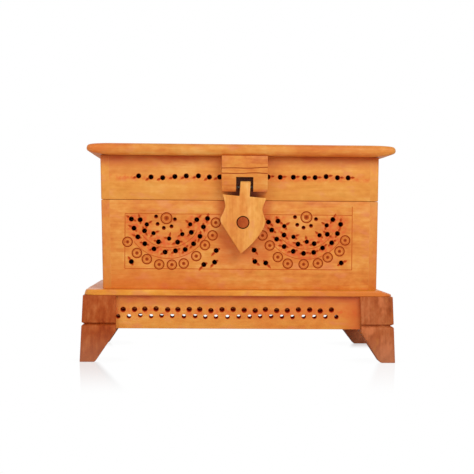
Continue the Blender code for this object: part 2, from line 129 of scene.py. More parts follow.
# Row of holes in the lid's front rail, and how far each strays right and up, from the latch out
rail_row_drop = 0.0135
rail_row_inner = 0.0164
rail_row_margin = 0.0228
rail_row_shift = -0.0004
rail_hole_shifts = {
    "left": (0.0005, 0.0012, 0.0015, 0.0010, 0.0010, 0.0005, 0.0003, -0.0003),
    "right": (-0.0003, 0.0003, 0.0015, 0.0015, 0.0009, 0.0007, 0.0007, 0.0003),
}
rail_hole_rises = {
    "left": (-0.0001, -0.0002, 0.0005, 0.0004, -0.0001, -0.0009, -0.0005, 0.0001),
    "right": (0.0002, 0.0001, 0.0002, -0.0001, 0.0001, 0.0008, 0.0001, 0.0001),
}

# Half-round fans in the front panel, with angles from the fan's left end
fan_spread = 0.0908
fan_shift = -0.0019
fan_drops = {"left": 0.0098, "right": 0.0107}
fan_size_shares = {"left": 1.015, "right": 0.985}
fan_radii = {"outer": 0.0243, "middle": 0.0187, "inner": 0.0154, "rings": 0.0319}
scribed_radii = (0.0214, 0.0284)
scribed_degrees = (38, 150)
scribed_steps = 40
fan_degrees = {
    "left": {
        "outer": (6.7, 21.4, 36, 51, 67.3, 85.2, 101.4, 116.2, 131.4, 146.3, 161.6, 175.3),
        "middle": (10, 34, 70, 109, 143, 171),
        "inner": (24, 51, 92, 126, 157),
        "rings": (33.8, 50.8, 64.4, 79.8, 94.3, 107.8, 124.4, 140.8, 155.5, 171.2),
    },
    "right": {
        "outer": (7.6, 21, 37.5, 54.4, 70.9, 87.6, 104, 120, 136.6, 153.8, 169.3),
        "middle": (8, 40, 75, 109, 143, 176),
        "inner": (23, 59, 94, 129, 160),
        "rings": (8, 23.3, 38.7, 55.7, 69.5, 88.4, 105.7, 119.7, 135.7, 150.4),
    },
}
# How far out each hole or ring really sits, as a share of its arc's radius
fan_reach_shares = {
    "left": {
        "outer": (1, 0.99, 1.01, 1, 0.99, 1, 0.98, 1.03, 1.025, 1.02, 0.99, 1.05),
        "rings": (1, 1.01, 1.005, 1.03, 1.02, 1.04, 1.015, 0.967, 0.993, 0.98),
        "eye": (1.01, 1.015, 0.97, 0.92, 0.81),
    },
    "right": {
        "outer": (1.035, 1, 1, 1, 1, 1, 1, 0.975, 1.02, 1, 1),
        "inner": (1, 1, 1.07, 1, 1),
        "rings": (1, 0.985, 0.96, 1.022, 1.047, 0.993, 1.007, 0.97, 1.02, 0.975),
        "eye": (1.1, 1.15, 1.045, 0.94, 0.945),
    },
}
eye_shifts = {"left": (-0.0013, -0.0022), "right": (0.0007, 0.0001)}
eye_radius = 0.0069
eye_degrees = {"left": (-8.7, 33.6, 75, 121.7, 173), "right": (0, 40, 75, 118.5, 169)}
corner_hole_shares = {
    "left": ((0.75, 0.96), (-0.73, 1.01), (-0.95, 0.96), (-0.98, 0.72)),
    "right": ((0.77, 0.96), (-0.83, 0.97), (-1.06, 0.94), (-1.08, 0.70)),
}

# Headings in degrees of each hole's main nick, and of the shorter one on its other side
nick_headings = {
    "left": {
        "outer": (145, 150, 155, 165, 203, 205, 213, 236, 236, 255, 280, 85),
        "middle": (112, 295, 162, 200, 229, 50),
        "inner": (28, 20, 75, 113, 141),
        "corner": (125, 228, 226, 228),
    },
    "right": {
        "outer": (321, 323, 340, 174, 183, 8, 20, 35, 38, 64, 85),
        "middle": (330, 315, 170, 20, 325, 65),
        "inner": (28, 25, 100, 137, 150),
        "corner": (28, 317, 320, 312),
    },
}
second_headings = {
    "left": {
        "outer": (330, 318, 335, 340, 20, 28, 32, 52, 58, 80, 95, 262),
        "middle": (280, 118, 340, 15, 42, 235),
        "inner": (262, 239, 180, 209, 238),
        "corner": (300, 32, 31, 28),
    },
    "right": {
        "outer": (140, 150, 158, 352, 5, 185, 200, 214, 222, 240, 262),
        "middle": (105, 135, 345, 200, 140, 232),
        "inner": (302, 319, 178, 317, 246),
        "corner": (217, 130, 135, 135),
    },
}
rail_nick_headings = {"left": 205, "right": 4}
main_nick_reach = 0.0045
second_nick_reach = 0.0035
corner_nick_reach = 0.0052
rail_nick_share = 1.05
nick_width = 0.0019
nick_depth = 0.0008
nick_steps = 12
nick_peak = 0.45
rail_nick_peak = 0.5

# Punched rings: radius, width and depth of each V groove, round a dent
ring_grooves = ((0.0031, 0.0010, 0.00050), (0.0022, 0.0003, 0.00012))
eye_grooves = ((0.0036, 0.0010, 0.00050), (0.0027, 0.0003, 0.00012))
ring_dent_radius = 0.0013
eye_dent_radius = 0.0018
dent_depth = 0.0006
dent_floor_share = 0.2
ring_sides = 32

# Frame scored round the fans: its bottom line runs on behind the hasp, its top line stops there
frame_left_x = -0.0751
frame_right_x = 0.0755
frame_top = 0.0971
frame_low = 0.0608
frame_gap = (-0.0124, 0.0168)
frame_overshoot = 0.0058
score_width = 0.0005
score_depth = 0.0002

# Lid board, whose nose draws back by a reach, and at its ends by a longer run and its power too
lid_corner_radius = 0.004
lid_nose_drop = 0.0034
lid_front_reach = 0.0036
lid_end_above = (0.0036, 0.010, 10)
lid_end_below = (0.0040, 0.012, 4)
lid_nose_steps = 14
lid_ripple = 0.0002

# Base board: its corners and edges, its worn right end and its slanted left end
base_corner_radius = 0.008
base_edge_radius = 0.0011
base_worn_reach = 0.0075
base_worn_share = 0.68
base_slant = 0.0012
base_edge_steps = 4
base_ripple = 0.0004

# Ripples that a hand plane leaves, and the points along each side of a board's outline
ripple_pitches = (0.047, 0.083, 0.021)
board_side_steps = 30

# Latch block
block_line_drops = (0.0076, 0.0113)
block_line_width = 0.0008
block_line_depth = 0.0004
block_line_ripple = 0.0012
block_line_steps = 24
block_chamfer_height = 0.0021
block_chamfer_depth = 0.0012
block_edge_radius = 0.00025
notch_width = 0.0112
notch_height = 0.0095

# Hasp and peg
hasp_shift = 0.0004
hasp_tilt_degrees = 3.4
hasp_behind_pin = 0.0040
hasp_before_pin = 0.0027
hasp_edge_radius = 0.0004
hasp_top_steps = 16
tongue_width = 0.0067
shoulder_drop = 0.0060
shoulder_slope_drop = 0.0003
shoulder_half_width = 0.0145
shield_waist_depth = 0.0024
shield_waist_power = 1.4
hip_drop = 0.0210
hip_half_width = 0.0148
shield_drop = 0.0438
shield_curve_power = 1.7
shield_straight_from_share = 0.12
shield_curve_steps = 20
peg_radius = 0.0037
peg_front_clearance = 0.0006
peg_clearance = 0.0007
peg_drop = 0.0232
peg_rim_radius = 0.0006
peg_dome_height = 0.00008

# Feet, and their wear as heights and insets in shares of each toe's wear
foot_width = 0.0216
foot_toe_width = 0.0099
foot_splay = 0.00165
foot_slant_height = 0.0199
foot_edge_radius = 0.0004
groove_drop = 0.0177
groove_depth = 0.0022
groove_width = 0.0021
toe_wear_shares = ((1, 0), (0.3, 0.25), (0, 0.8))
toe_bulge_share = 0.3

# Screws
screw_head_radius = 0.0016
screw_head_height = 0.0007
screw_shank_radius = 0.0008
screw_length = 0.0045
screw_tip_length = 0.0012
screw_tip_radius = 0.00002
screw_slot_width = 0.0004
screw_slot_depth = 0.00035

# Stains and painted light, as spans from where each one is absent to where it is full, or as its reach
fan_stain_inside = (0.010, 0.017)
fan_stain_outside = (0.031, 0.026)
fan_stain_fade = 0.001
# Painted light bounced from the base board, over the panel's lower left
board_bounce_x = (0, -0.05)
board_bounce_z = (0.066, 0.052)
# Painted shade round the hasp
hasp_shade_x = (0.022, 0.013)
hasp_shade_z = (0.060, 0.067)
rail_stain_drop = 0.0008
rail_stain_reach = 0.0036
# Painted shade on the front rail rises this far above the row of holes
rail_shade_rise = 0.003
# Painted shade under the lid's overhang reaches this far down the rails
rail_overhang_shade_reach = 0.010
apron_stain_drop = 0.001
apron_stain_reach = 0.0058
# Span of the painted shade at the apron's right end
apron_end_shade = (0.014, 0.001)
# Painted shade under the base board reaches this far down the apron
apron_overhang_shade_reach = 0.009
# Span of the painted sheen on the base board's top, and the depth of the board's top rim
base_sheen_span = (-0.002, 0.003)
base_top_rim = 0.0003

# Depths of the grain, of raw cuts and of scratches, and the reach of worn edges
grain_relief = 0.00007
cut_relief = 0.00006
scratch_relief = 0.00002
worn_edge_reach = 0.0007

# Turns that lay a board's grain along the texture's X axis
grain_turns = {"X": (0, 0, 0), "Y": (0, 0, -90), "Z": (0, 90, 0)}

# Screen tones of each wood from dark to light, and the place of each in the pattern
tone_places = (0.20, 0.40, 0.58, 0.80)
honey = ((202, 104, 30), (218, 127, 45), (227, 144, 58), (235, 166, 82))
pale = ((212, 122, 40), (224, 141, 52), (231, 154, 64), (239, 174, 88))
light = ((221, 136, 52), (234, 158, 70), (241, 172, 84), (247, 190, 108))
yellow = ((208, 112, 26), (224, 138, 38), (232, 152, 48), (240, 170, 72))
dark = ((122, 42, 12), (153, 63, 21), (170, 80, 33), (190, 106, 56))
brown = ((126, 56, 22), (160, 80, 38), (178, 98, 54), (198, 124, 78))

# Raw wood of each kind of cut, darkened with depth as painted shade in the cut: the node it lies in, and
# its tones from the face to a depth
cut_woods = {
    "carved": (
        "front_panel",
        0.0015,
        ((0, (220, 112, 42)), (0.25, (202, 88, 34)), (0.50, (170, 62, 24)), (1, (90, 28, 12))),
    ),
    "bored": ("front_panel", 0.006, ((0, (190, 80, 30)), (0.15, (160, 48, 18)), (1, (130, 30, 10)))),
    "punched": ("front_panel", 0.0005, ((0, (210, 104, 38)), (0.6, (176, 76, 24)), (1, (138, 52, 14)))),
    "scored": ("front_panel", 0.0003, ((0, (212, 106, 40)), (1, (184, 78, 28)))),
    "lined": ("latch_block", block_line_depth, ((0, (208, 116, 52)), (1, (166, 76, 32)))),
    # The notch's walls: painted shade, dark all through
    "shaded": ("latch_block", 0.003, ((0, (150, 54, 18)), (0.5, (104, 30, 10)), (1, (84, 22, 8)))),
    "hasp_hole": ("hasp", 0.005, ((0, (172, 78, 30)), (1, (120, 44, 16)))),
    "drilled": ("front_apron", 0.003, ((0, (206, 84, 28)), (0.3, (180, 50, 14)), (1, (160, 32, 6)))),
}

# Seed, wood, toe wear, lean and bulge of the inner faces, and drop of the groove, foot by foot
feet = {
    "front_left_foot": (107, dark, 0.0009, 0, 0, 0.0008),
    "front_right_foot": (108, brown, 0.0013, 0.0009, 0, 0.0012),
    "back_left_foot": (109, brown, 0.0009, 0, 0, 0),
    # The back right foot takes the dark wood as painted shade, where it stands behind the front feet
    "back_right_foot": (110, dark, 0.0004, 0, 0.0030, 0),
}

# Places that the frame gives
rail_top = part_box("lid_front_rail")[1].z
wall_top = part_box("front_panel")[1].z
case_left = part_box("lid_left_rail")[0].x
case_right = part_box("lid_right_rail")[1].x
case_middle = (case_left + case_right) / 2
latch_x = sum(corner.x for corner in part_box("latch_block")) / 2
lid_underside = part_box("lid_board")[0].z - glue_line
base_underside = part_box("base_board")[0].z - glue_line


def linear(level):
    """A linear colour value from a screen value of 0 to 255."""
    share = level / 255
    if share <= 0.04045:
        return share / 12.92
    return ((share + 0.055) / 1.055) ** 2.4


def colour(red, green, blue):
    return (linear(red), linear(green), linear(blue), 1)


def sweep(last, steps):
    """Values in even steps from 0 to the last one."""
    return [last * step / steps for step in range(steps + 1)]


class Shading:
    """The nodes of a material or of the world, made one after another."""

    def __init__(self, data):
        data.use_nodes = True
        self.data = data
        self.tree = data.node_tree
        self.shader = self.tree.nodes.get("Principled BSDF")

    def feed(self, node, inputs):
        """Fill a node's inputs, by name or in order: a link to an output, or a plain value."""
        for key, value in inputs.items() if isinstance(inputs, dict) else enumerate(inputs):
            if isinstance(value, bpy.types.NodeSocket):
                self.tree.links.new(value, node.inputs[key])
            else:
                node.inputs[key].default_value = value

    def node(self, kind, inputs=(), **settings):
        made = self.tree.nodes.new(kind)
        for key, value in settings.items():
            setattr(made, key, value)
        self.feed(made, inputs)
        return made

    def coordinates(self):
        return self.node("ShaderNodeTexCoord").outputs["Object"]

    def mapping(self, vector, location=(0, 0, 0), rotation=(0, 0, 0), scale=(1, 1, 1)):
        turns = [math.radians(angle) for angle in rotation]
        inputs = {"Vector": vector, "Location": location, "Rotation": turns, "Scale": scale}
        return self.node("ShaderNodeMapping", inputs).outputs[0]

    def noise(self, vector, scale, detail=2, roughness=0.5):
        inputs = {"Vector": vector, "Scale": scale, "Detail": detail, "Roughness": roughness}
        return self.node("ShaderNodeTexNoise", inputs).outputs[0]

    def streaks(self, vector, along, across, detail=2, roughness=0.6, shift=(0, 0, 0), turn=(0, 0, 0)):
        """Noise drawn out along the grain, with its rates along and across it."""
        laid = self.mapping(vector, shift, turn, (along, across, across))
        return self.noise(laid, 1, detail, roughness)

    def math(self, operation, *values):
        return self.node("ShaderNodeMath", values, operation=operation).outputs[0]

    def times(self, product, *factors):
        for factor in factors:
            product = self.math("MULTIPLY", product, factor)
        return product

    def most(self, largest, *others):
        for other in others:
            largest = self.math("MAXIMUM", largest, other)
        return largest

    def apart(self, value, other):
        """The difference of two values, without its sign."""
        return self.math("ABSOLUTE", self.math("SUBTRACT", value, other))

    def distance(self, *places):
        return self.node("ShaderNodeVectorMath", places, operation="DISTANCE").outputs["Value"]

    def parts(self, vector):
        return self.node("ShaderNodeSeparateXYZ", (vector,)).outputs

    def between(self, value, low, high, start=0.0, end=1.0):
        """A value stretched from one span to another, smoothly and with both ends held."""
        inputs = {"Value": value, "From Min": low, "From Max": high, "To Min": start, "To Max": end}
        return self.node("ShaderNodeMapRange", inputs, interpolation_type="SMOOTHSTEP").outputs[0]

    def ramp(self, value, stops):
        """Screen tones along a value, each given with its place."""
        made = self.node("ShaderNodeValToRGB", (value,))
        elements = made.color_ramp.elements
        while len(elements) < len(stops):
            elements.new(0.5)
        for element, (place, tone) in zip(elements, stops):
            element.position = place
            element.color = colour(*tone)
        return made.outputs[0]

    def tint(self, tone, share, red, green, blue):
        """A tone drawn toward a screen colour by a share."""
        inputs = {0: share, 6: tone, 7: colour(red, green, blue)}
        return self.node("ShaderNodeMix", inputs, data_type="RGBA").outputs[2]

    def blend(self, share, first, second):
        return self.node("ShaderNodeMixShader", (share, first, second)).outputs[0]

    def bump(self, height, distance, strength=1.0):
        inputs = {"Height": height, "Distance": distance, "Strength": strength}
        return self.node("ShaderNodeBump", inputs).outputs[0]

    def edge_wear(self):
        """Where the surface turns sharply, from 0 on the flat to 1 on an edge."""
        rounded = self.node("ShaderNodeBevel", {"Radius": worn_edge_reach}, samples=4).outputs[0]
        true = self.node("ShaderNodeNewGeometry").outputs["Normal"]
        along = self.node("ShaderNodeVectorMath", (rounded, true), operation="DOT_PRODUCT")
        return self.between(self.math("SUBTRACT", 1.0, along.outputs["Value"]), 0.02, 0.25)


def wood(name, axis, seed, tones=honey, contrast=1.0, redness=0.35, gloss=1.0, tinting=None):
    """Oiled wood with fine fibres along an axis, soft ribbons and clouds, and short pores."""
    nodes = Shading(bpy.data.materials.new(name + "_wood"))
    place = nodes.coordinates()
    drift = random.Random(seed)
    laid = nodes.mapping(place, [drift.uniform(-1, 1) for _ in range(3)], grain_turns[axis])
    sway = nodes.math("MULTIPLY_ADD", nodes.streaks(laid, 9, 20, 1, 0.5), 0.012, -0.006)
    swayed = nodes.node("ShaderNodeCombineXYZ", {1: sway, 2: sway}).outputs[0]
    bent = nodes.node("ShaderNodeVectorMath", (laid, swayed), operation="ADD").outputs[0]
    fibres = nodes.streaks(bent, 22, 950, 3)
    clouds = nodes.streaks(laid, 13, 32, 2, 0.55)
    blotches = nodes.streaks(laid, 48, 85)
    level = 0.5
    for source, share in (
        (fibres, 0.34),
        (nodes.streaks(bent, 5, 80, 2, 0.55), 0.44),
        (nodes.streaks(bent, 26, 190, turn=(0, 11, 9)), 0.42),
        (clouds, 0.62),
        (blotches, 0.48),
        (nodes.streaks(laid, 190, 330), 0.52),
    ):
        level = nodes.math("MULTIPLY_ADD", nodes.math("SUBTRACT", source, 0.5), share * contrast, level)
    tone = nodes.ramp(level, list(zip(tone_places, tones)))
    if tones is not dark:
        spots = nodes.streaks(laid, 75, 150, shift=(0.3, 0.1, 0.2))
        tone = nodes.tint(tone, nodes.between(spots, 0.54, 0.74, 0, 0.5), 226, 134, 84)
        tone = nodes.tint(tone, nodes.between(spots, 0.46, 0.26, 0, 0.5), 214, 140, 50)
    warmth = nodes.streaks(laid, 8, 21, 3)
    tone = nodes.tint(tone, nodes.between(warmth, 0.46, 0.68, 0, redness), 214, 96, 30)
    pore = nodes.between(nodes.streaks(bent, 130, 2600, 1, 0.5), 0.62, 0.74)
    tone = nodes.tint(tone, nodes.times(pore, 0.30), *tones[0])
    # Marks laid over the tone: stains, and on some boards painted shade, painted sheen and painted bounce
    # light
    if tinting is not None:
        tone = tinting(nodes, place, tone)
    worn = nodes.times(nodes.edge_wear(), nodes.between(blotches, 0.35, 0.65, 0.1, 0.4))
    relief = nodes.math("SUBTRACT", fibres, nodes.times(pore, 0.5))
    looks = {
        "Base Color": nodes.tint(tone, worn, *tones[-1]),
        "Roughness": nodes.between(clouds, 0.3, 0.7, 0.42, 0.56),
        "Specular IOR Level": 0.30 * gloss,
        "Coat Weight": 0.06 * gloss,
        "Coat Roughness": 0.28,
        "Normal": nodes.bump(relief, grain_relief, 0.6),
    }
    nodes.feed(nodes.shader, looks)
    return nodes.data


def cut_wood(name, node, depth, tones):
    """Raw wood of a drilled or carved wall: its tones run darker from the face to a depth behind it, as
    painted shade deeper in the cut.
    """
    nodes = Shading(bpy.data.materials.new(name + "_wood"))
    place = nodes.coordinates()
    # Tones darken with depth behind the face: painted shade deeper in the cut
    behind = nodes.math("SUBTRACT", nodes.parts(place)[1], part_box(node)[0].y)
    inward = nodes.math("DIVIDE", behind, depth)
    speckle = nodes.noise(place, 1500, 2)
    level = nodes.math("MULTIPLY_ADD", nodes.math("SUBTRACT", speckle, 0.5), 0.5, inward)
    looks = {
        "Base Color": nodes.ramp(level, tones),
        "Roughness": nodes.between(speckle, 0.3, 0.7, 0.6, 0.8),
        "Specular IOR Level": 0.1,
        "Normal": nodes.bump(speckle, cut_relief),
    }
    nodes.feed(nodes.shader, looks)
    return nodes.data


def metal(name, tone, worn_tone, roughness):
    """Metal with cloudy tarnish and fine scratches."""
    nodes = Shading(bpy.data.materials.new(name))
    place = nodes.coordinates()
    cloud = nodes.noise(place, 520, 4, 0.55)
    scratches = nodes.noise(nodes.mapping(place, scale=(400, 3000, 6000)), 1, 2)
    looks = {
        "Base Color": nodes.tint(colour(*tone), nodes.between(cloud, 0.35, 0.65), *worn_tone),
        "Metallic": 1,
        "Roughness": nodes.between(cloud, 0.3, 0.7, roughness, roughness + 0.2),
        "Normal": nodes.bump(scratches, scratch_relief, 0.5),
    }
    nodes.feed(nodes.shader, looks)
    return nodes.data


def add_object(name, data):
    made = bpy.data.objects.new(name, data)
    bpy.context.scene.collection.objects.link(made)
    return made


def finish_mesh(name, bm, material):
    bmesh.ops.recalc_face_normals(bm, faces=bm.faces[:])
    mesh = bpy.data.meshes.new(name)
    bm.to_mesh(mesh)
    bm.free()
    mesh.materials.append(material)
    return add_object(name, mesh)


def settle(piece):
    """Apply the piece's modifiers to its mesh."""
    graph = bpy.context.evaluated_depsgraph_get()
    mesh = bpy.data.meshes.new_from_object(piece.evaluated_get(graph))
    piece.modifiers.clear()
    piece.data = mesh


def cut(piece, bm, material, operation="DIFFERENCE"):
    """Cut a shape out of a piece, and give the walls of the cut a material of their own."""
    cutter = finish_mesh("cutter", bm, material)
    modifier = piece.modifiers.new("cut", "BOOLEAN")
    modifier.object = cutter
    modifier.operation = operation
    modifier.solver = "EXACT"
    modifier.material_mode = "TRANSFER"
    settle(piece)
    bpy.data.objects.remove(cutter, do_unlink=True)


def round_edges(piece, radius, segments=2, angle=30):
    modifier = piece.modifiers.new("round", "BEVEL")
    modifier.width = radius
    modifier.segments = segments
    modifier.limit_method = "ANGLE"
    modifier.angle_limit = math.radians(angle)
    settle(piece)


def smooth(piece, angle=30):
    piece.data.shade_smooth()
    piece.data.set_sharp_from_angle(angle=math.radians(angle))


def place_piece(piece, body, slot, *nodes):
    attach(piece, body)
    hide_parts(*nodes)


def add_box(bm, low, high):
    low, high = Vector(low), Vector(high)
    middle = Matrix.Translation((low + high) / 2)
    bmesh.ops.create_cube(bm, size=1, matrix=middle @ Matrix.Diagonal((high - low).to_4d()))


def add_prism(bm, points, way):
    face = bm.faces.new([bm.verts.new(point) for point in points])
    swept = bmesh.ops.extrude_face_region(bm, geom=[face])
    moved = [part for part in swept["geom"] if isinstance(part, bmesh.types.BMVert)]
    bmesh.ops.translate(bm, verts=moved, vec=way)


def add_rings(bm, rings, closed=False):
    """Skin a row of rings that have equally many points, and cap both ends or join them."""
    made = [[bm.verts.new(point) for point in ring] for ring in rings]
    pairs = list(zip(made, made[1:]))
    if closed:
        pairs.append((made[-1], made[0]))
    for first, second in pairs:
        for index in range(len(first)):
            after = (index + 1) % len(first)
            bm.faces.new((first[index], first[after], second[after], second[index]))
    if not closed:
        bm.faces.new(made[0])
        bm.faces.new(made[-1])


def circle_points(x, z, radius, sides):
    angles = [2 * math.pi * side / sides for side in range(sides)]
    return [(x + radius * math.cos(angle), z + radius * math.sin(angle)) for angle in angles]


def add_turned(bm, centre, profile, sides):
    """A solid turned about Y from (radius, y) points, from its front end to its back end."""
    rings = []
    for radius, y in profile:
        rings.append([centre + Vector((x, y, z)) for x, z in circle_points(0, 0, radius, sides)])
    add_rings(bm, rings)


def add_drill(bm, x, z, radius, front, back, rise=0.0):
    """A drill's path through a board, widened a little where it enters, and rising to the back."""
    wide = radius + countersink + cut_overrun
    slope = rise / (back - front)
    rings = []
    for reach, y in (
        (wide, front - cut_overrun),
        (radius, front + countersink),
        (radius, back + cut_overrun),
    ):
        lift = slope * (y - front)
        rings.append([(x, y, z + lift) for x, z in circle_points(x, z, reach, hole_sides)])
    add_rings(bm, rings)


def add_groove(bm, points, width, depth, front, closed=False):
    """A V groove along a line of (x, z) points in a front face."""
    reach = width / 2 * (1 + groove_overrun / depth)
    last = len(points) - 1
    rings = []
    for index, (x, z) in enumerate(points):
        before = points[index - 1] if closed or index > 0 else points[0]
        after = points[(index + 1) % len(points)] if closed or index < last else points[last]
        along = Vector((after[0] - before[0], 0, after[1] - before[1])).normalized()
        across = Vector((-along.z, 0, along.x)) * reach
        brink = Vector((x, front - groove_overrun, z))
        rings.append([brink - across, Vector((x, front + depth, z)), brink + across])
    add_rings(bm, rings, closed)


def add_nick(bm, x, z, radius, heading, reach, front, peak=nick_peak):
    """A leaf-shaped V cut that runs out of a hole and tapers to a point at its reach."""
    along = Vector((math.cos(heading), 0, math.sin(heading)))
    across = Vector((-along.z, 0, along.x))
    slope = nick_width / 2 / nick_depth
    start = radius / 2
    power = math.log(0.5) / math.log(peak)
    out = Vector((0, -nick_depth, 0))
    rings = []
    for share in sweep(1, nick_steps):
        dip = nick_depth * (1.12 * math.sin(math.pi * share**power) - 0.12)
        spine = Vector((x, front, z)) + along * (start + (reach - start) * share)
        side = across * slope * (dip + nick_depth)
        rings.append([spine - side + out, spine + Vector((0, dip, 0)), spine + side + out])
    add_rings(bm, rings)


def soften(bm, radius, segments, wanted):
    """Round the edges that a test picks by their two ends."""
    edges = [edge for edge in bm.edges if wanted(edge.verts[0].co, edge.verts[1].co)]
    bmesh.ops.bevel(bm, geom=edges, offset=radius, segments=segments, profile=0.5, affect="EDGES")


def lean_in(bm):
    """Move a wall's corners toward the case's middle, the more the lower they are."""
    for corner in bm.verts:
        side = "left" if corner.co.x < case_middle else "right"
        inward = math.tan(math.radians(wall_lean_degrees[side])) * (rail_top - corner.co.z)
        corner.co.x += wall_top_shifts[side] - outward_signs[side] * inward


def wall_heights(node, low, high):
    """A wall's lowest and highest level, closed up to the board above or below it by a hairline."""
    opening = lid_gap / 2 - parting_line / 2
    if node.startswith("lid_"):
        return low.z - opening, lid_underside
    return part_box("base_board")[1].z + glue_line, high.z + opening


def cross_wall(name, node, material):
    """A front or back wall between the two side boards, with softened long edges."""
    low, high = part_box(node)
    low_z, high_z = wall_heights(node, low, high)
    inset = side_thickness + glue_line
    bm = bmesh.new()
    add_box(bm, (case_left + inset, low.y, low_z), (case_right - inset, high.y, high_z))
    soften(bm, soft_edge_radius, 2, lambda a, b: abs(a.x - b.x) > side_thickness)
    lean_in(bm)
    return finish_mesh(name, bm, material)


def side_wall(name, node, material):
    """A side board, whose end grain shows at the front, with well rounded outer corners."""
    low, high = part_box(node)
    low_z, high_z = wall_heights(node, low, high)
    left, outer_x = case_left, case_left
    if "right" in node:
        left, outer_x = case_right - side_thickness, case_right

    def is_outer_corner(a, b):
        return abs(a.z - b.z) > side_thickness and abs(a.x - outer_x) < glue_line

    bm = bmesh.new()
    add_box(bm, (left, low.y, low_z), (left + side_thickness, high.y, high_z))
    soften(bm, outer_edge_radius, 4, is_outer_corner)
    soften(bm, soft_edge_radius, 2, lambda a, b: abs(a.z - b.z) < glue_line)
    lean_in(bm)
    piece = finish_mesh(name, bm, material)
    smooth(piece)
    return piece


def apron_board(name, node, material):
    """A board between two feet, closed up to the base board by a hairline."""
    low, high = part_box(node)
    along = Vector((1, 0, 0)) if high.x - low.x > high.y - low.y else Vector((0, 1, 0))
    low -= along * apron_end_reach
    high += along * apron_end_reach
    high.z = base_underside
    half = (high - low).dot(along) / 2
    bm = bmesh.new()
    add_box(bm, low, high)
    soften(bm, soft_edge_radius, 2, lambda a, b: (a - b).length > half and a.z < high.z - glue_line)
    return finish_mesh(name, bm, material)


def arc_places(centre, radius, degrees, shares=None):
    """(x, z) along a half circle that hangs below its centre, from its left end."""
    places = []
    for angle, share in zip(degrees, shares or [1] * len(degrees)):
        turn = math.radians(angle)
        reach = radius * share
        places.append((centre[0] - reach * math.cos(turn), centre[1] - reach * math.sin(turn)))
    return places


def fan_centre(side):
    x = case_middle + fan_shift + outward_signs[side] * fan_spread / 2
    return (x, wall_top - fan_drops[side])


def fan_places(side):
    """Places of one fan's holes and rings, by the name of their arc."""
    centre = fan_centre(side)
    size = fan_size_shares[side]
    shares = fan_reach_shares[side]
    places = {}
    for arc, degrees in fan_degrees[side].items():
        places[arc] = arc_places(centre, size * fan_radii[arc], degrees, shares.get(arc))
    arc_radius = size * fan_radii["rings"]
    places["corner"] = [
        (centre[0] + outward_signs[side] * outward * arc_radius, centre[1] - downward * arc_radius)
        for outward, downward in corner_hole_shares[side]
    ]
    eye = (centre[0] + eye_shifts[side][0], centre[1] + eye_shifts[side][1])
    places["eye"] = arc_places(eye, eye_radius, eye_degrees[side], shares["eye"])
    places["eye_ring"] = [eye]
    return places


def fan_stain_and_painted_light(nodes, place, tone):
    """Reddish scorching among the carved holes of both fans, painted bounce light from the base board at
    the lower left, and painted shade round the hasp.
    """
    x, _, z = nodes.parts(place)
    rings = []
    for side in outward_signs:
        middle_x, middle_z = fan_centre(side)
        away = nodes.distance(place, (middle_x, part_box("front_panel")[0].y, middle_z))
        inside = nodes.between(away, *fan_stain_inside)
        rings.append(nodes.times(inside, nodes.between(away, *fan_stain_outside)))
    framed = nodes.between(z, frame_top, frame_top - fan_stain_fade)
    patches = nodes.between(nodes.noise(place, 330, 3, 0.6), 0.40, 0.64, 0.2, 0.95)
    tone = nodes.tint(tone, nodes.times(nodes.most(*rings), framed, patches), 220, 92, 32)
    # Painted light bounced up from the base board: redder toward the panel's lower left
    low_down = nodes.between(z, *board_bounce_z)
    corner = nodes.times(low_down, nodes.between(x, *board_bounce_x, 0, 0.4))
    tone = nodes.tint(tone, corner, 218, 106, 20)
    # Painted shade round the hasp, darker and redder, fading out a little below its point
    near_latch = nodes.between(nodes.apart(x, latch_x), *hasp_shade_x)
    hasp_shade = nodes.times(near_latch, nodes.between(z, *hasp_shade_z, 0, 0.5))
    return nodes.tint(tone, hasp_shade, 206, 88, 30)


def row_stain(nodes, place, tone, height, reach):
    """Reddish scorching along a row of holes."""
    near = nodes.between(nodes.apart(nodes.parts(place)[2], height), reach, 0)
    patches = nodes.between(nodes.noise(place, 330, 3, 0.6), 0.40, 0.64, 0.1, 0.7)
    return nodes.tint(tone, nodes.times(near, patches), 222, 92, 30)


def overhang_shade(nodes, place, tone, top, reach):
    """Painted shade along a board's upper edge, darker and redder in patches, where an overhang above
    shades it.
    """
    near = nodes.between(nodes.math("SUBTRACT", top, nodes.parts(place)[2]), reach, 0)
    patches = nodes.noise(nodes.mapping(place, scale=(60, 60, 160)), 1, 2)
    share = nodes.times(near, nodes.between(patches, 0.3, 0.7, 0.55, 1))
    return nodes.tint(tone, share, 196, 88, 34)


# Painted shade under the lid's overhang, along the top of the lid's rails
def rail_overhang_shade(nodes, place, tone):
    return overhang_shade(nodes, place, tone, rail_top, rail_overhang_shade_reach)


